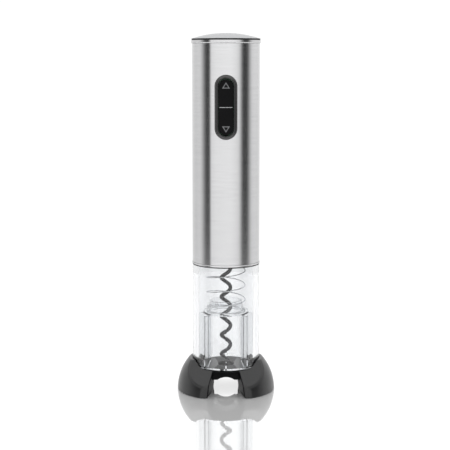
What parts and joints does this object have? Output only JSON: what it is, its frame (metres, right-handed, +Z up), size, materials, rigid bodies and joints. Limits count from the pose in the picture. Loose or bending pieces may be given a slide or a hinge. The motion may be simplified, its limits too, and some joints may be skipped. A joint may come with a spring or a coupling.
{
  "type": "electric wine opener",
  "caption": "Upright battery wine opener with a steel sleeve, push buttons and a clear neck guide over a worm, standing in a domed foil cutter.",
  "frame": {"origin": "centre of the surface that the foil cutter stands on", "axes": "+Z up along the worm, the buttons face -Y, +X to the right seen from the buttons"},
  "size_m": [0.073, 0.063, 0.266],
  "materials": {
    "black_plastic": "satin, charcoal black",
    "steel": "plain",
    "wheel_steel": "ground edge",
    "clear_plastic": "clear polished plastic",
    "polished_steel": "polished",
    "brushed_steel": "fine grain round the sleeve",
    "satin_silver": "satin",
    "black_rubber": "matt",
    "contact_brass": "plated",
    "grey_plastic": "matt dark grey",
    "cast_metal": "as cast",
    "bronze": "sintered",
    "gear_plastic": "natural",
    "motor_steel": "plated",
    "magnet": "ferrite",
    "white_plastic": "matt",
    "core_steel": "laminated",
    "copper": "enamelled wire",
    "lead_cover": "lead cover",
    "gloss_black": "gloss",
    "button_black": "satin",
    "board_green": "coated board",
    "switch_black": "matt",
    "coated_worm": "non-stick coating",
    "spring_steel": "drawn wire",
    "cell_jacket": "plain printed jacket"
  },
  "bodies": {
    "foil_cutter": {"cutter_body": "black_plastic", "left_wheel_cover": "black_plastic", "right_wheel_cover": "black_plastic", "wheel_pins": "steel", "cover_screws": "steel"},
    "wheel_1": {"cutting_wheel_1": "wheel_steel"},
    "wheel_2": {"cutting_wheel_2": "wheel_steel"},
    "wheel_3": {"cutting_wheel_3": "wheel_steel"},
    "wheel_4": {"cutting_wheel_4": "wheel_steel"},
    "handle": {"clear_sleeve": "clear_plastic", "trim_ring": "polished_steel", "steel_sleeve": "brushed_steel", "cap_ring": "satin_silver", "front_shell": "grey_plastic", "rear_shell": "grey_plastic", "shell_screws": "steel", "end_cup": "grey_plastic", "gearbox_base": "cast_metal", "output_bush": "bronze", "ring_gear": "gear_plastic", "gearbox_screws": "steel", "motor_plate": "cast_metal", "motor_screws": "steel", "motor_can": "motor_steel", "motor_magnets": "magnet", "motor_end_bell": "white_plastic", "motor_leads": "lead_cover", "battery_holder": "grey_plastic", "holder_contacts": "contact_brass", "cell_1": "cell_jacket", "cell_2": "cell_jacket", "cell_3": "cell_jacket", "cell_4": "cell_jacket", "button_bezel": "gloss_black", "switch_board": "board_green", "switches": "switch_black", "guide_spring": "spring_steel"},
    "cap": {"top_cap": "satin_silver", "cap_gasket": "black_rubber", "cap_contacts": "contact_brass"},
    "up_button": {"up_button": "button_black", "up_plunger": "grey_plastic"},
    "down_button": {"down_button": "button_black", "down_plunger": "grey_plastic"},
    "rotor": {"armature": "core_steel", "windings": "copper", "motor_shaft": "steel", "drive_pinion": "bronze"},
    "first_carrier": {"first_carrier": "cast_metal"},
    "planet_1": {"planet_gear_1": "gear_plastic"},
    "planet_2": {"planet_gear_2": "gear_plastic"},
    "planet_3": {"planet_gear_3": "gear_plastic"},
    "spindle": {"output_carrier": "cast_metal", "worm_hub": "steel", "worm": "coated_worm"},
    "planet_4": {"planet_gear_4": "gear_plastic"},
    "planet_5": {"planet_gear_5": "gear_plastic"},
    "planet_6": {"planet_gear_6": "gear_plastic"},
    "guide": {"cork_guide": "clear_plastic"}
  },
  "joints": [
    {"name": "handle_lift", "type": "slide", "parent": "foil_cutter", "child": "handle", "axis": [0, 0, 1], "range_m": [0, 0.06]},
    {"name": "cap_lift", "type": "slide", "parent": "handle", "child": "cap", "axis": [0, 0, 1], "range_m": [0, 0.03]},
    {"name": "up_press", "type": "slide", "parent": "handle", "child": "up_button", "axis": [0, 1, 0], "range_m": [0, 0.0006], "stiffness_N_per_m": 2500, "springref_m": -0.0004},
    {"name": "down_press", "type": "slide", "parent": "handle", "child": "down_button", "axis": [0, 1, 0], "range_m": [0, 0.0006], "stiffness_N_per_m": 2500, "springref_m": -0.0004},
    {"name": "motor_spin", "type": "hinge", "parent": "handle", "child": "rotor", "pos_m": [0, 0, 0.165], "axis": [0, 0, 1], "continuous": true},
    {"name": "first_carrier_spin", "type": "hinge", "parent": "handle", "child": "first_carrier", "pos_m": [0, 0, 0.137], "axis": [0, 0, 1], "continuous": true},
    {"name": "worm_spin", "type": "hinge", "parent": "handle", "child": "spindle", "pos_m": [0, 0, 0.11], "axis": [0, 0, 1], "continuous": true},
    {"name": "guide_slide", "type": "slide", "parent": "handle", "child": "guide", "axis": [0, 0, 1], "range_m": [0, 0.022], "stiffness_N_per_m": 150, "springref_m": -0.012, "deforming": ["guide_spring"]},
    {"name": "planet_1_spin", "type": "hinge", "parent": "first_carrier", "child": "planet_1", "pos_m": [0, 0.0108, 0.142], "axis": [0, 0, 1], "continuous": true},
    {"name": "planet_2_spin", "type": "hinge", "parent": "first_carrier", "child": "planet_2", "pos_m": [-0.00935, -0.0054, 0.142], "axis": [0, 0, 1], "continuous": true},
    {"name": "planet_3_spin", "type": "hinge", "parent": "first_carrier", "child": "planet_3", "pos_m": [0.00935, -0.0054, 0.142], "axis": [0, 0, 1], "continuous": true},
    {"name": "planet_4_spin", "type": "hinge", "parent": "spindle", "child": "planet_4", "pos_m": [0, 0.0108, 0.131], "axis": [0, 0, 1], "continuous": true},
    {"name": "planet_5_spin", "type": "hinge", "parent": "spindle", "child": "planet_5", "pos_m": [-0.00935, -0.0054, 0.131], "axis": [0, 0, 1], "continuous": true},
    {"name": "planet_6_spin", "type": "hinge", "parent": "spindle", "child": "planet_6", "pos_m": [0.00935, -0.0054, 0.131], "axis": [0, 0, 1], "continuous": true},
    {"name": "wheel_1_spin", "type": "hinge", "parent": "foil_cutter", "child": "wheel_1", "pos_m": [0.01755, 0.00894, 0.0039], "axis": [0, 0, 1], "continuous": true},
    {"name": "wheel_2_spin", "type": "hinge", "parent": "foil_cutter", "child": "wheel_2", "pos_m": [-0.01755, 0.00894, 0.0039], "axis": [0, 0, 1], "continuous": true},
    {"name": "wheel_3_spin", "type": "hinge", "parent": "foil_cutter", "child": "wheel_3", "pos_m": [-0.01755, -0.00894, 0.0039], "axis": [0, 0, 1], "continuous": true},
    {"name": "wheel_4_spin", "type": "hinge", "parent": "foil_cutter", "child": "wheel_4", "pos_m": [0.01755, -0.00894, 0.0039], "axis": [0, 0, 1], "continuous": true}
  ],
  "couplings": [
    {"joint": "first_carrier_spin", "follows": "motor_spin", "ratio": 0.16667},
    {"joint": "worm_spin", "follows": "motor_spin", "ratio": 0.027778},
    {"joint": "planet_1_spin", "follows": "motor_spin", "ratio": -0.41667},
    {"joint": "planet_2_spin", "follows": "motor_spin", "ratio": -0.41667},
    {"joint": "planet_3_spin", "follows": "motor_spin", "ratio": -0.41667},
    {"joint": "planet_4_spin", "follows": "motor_spin", "ratio": -0.069444},
    {"joint": "planet_5_spin", "follows": "motor_spin", "ratio": -0.069444},
    {"joint": "planet_6_spin", "follows": "motor_spin", "ratio": -0.069444}
  ]
}
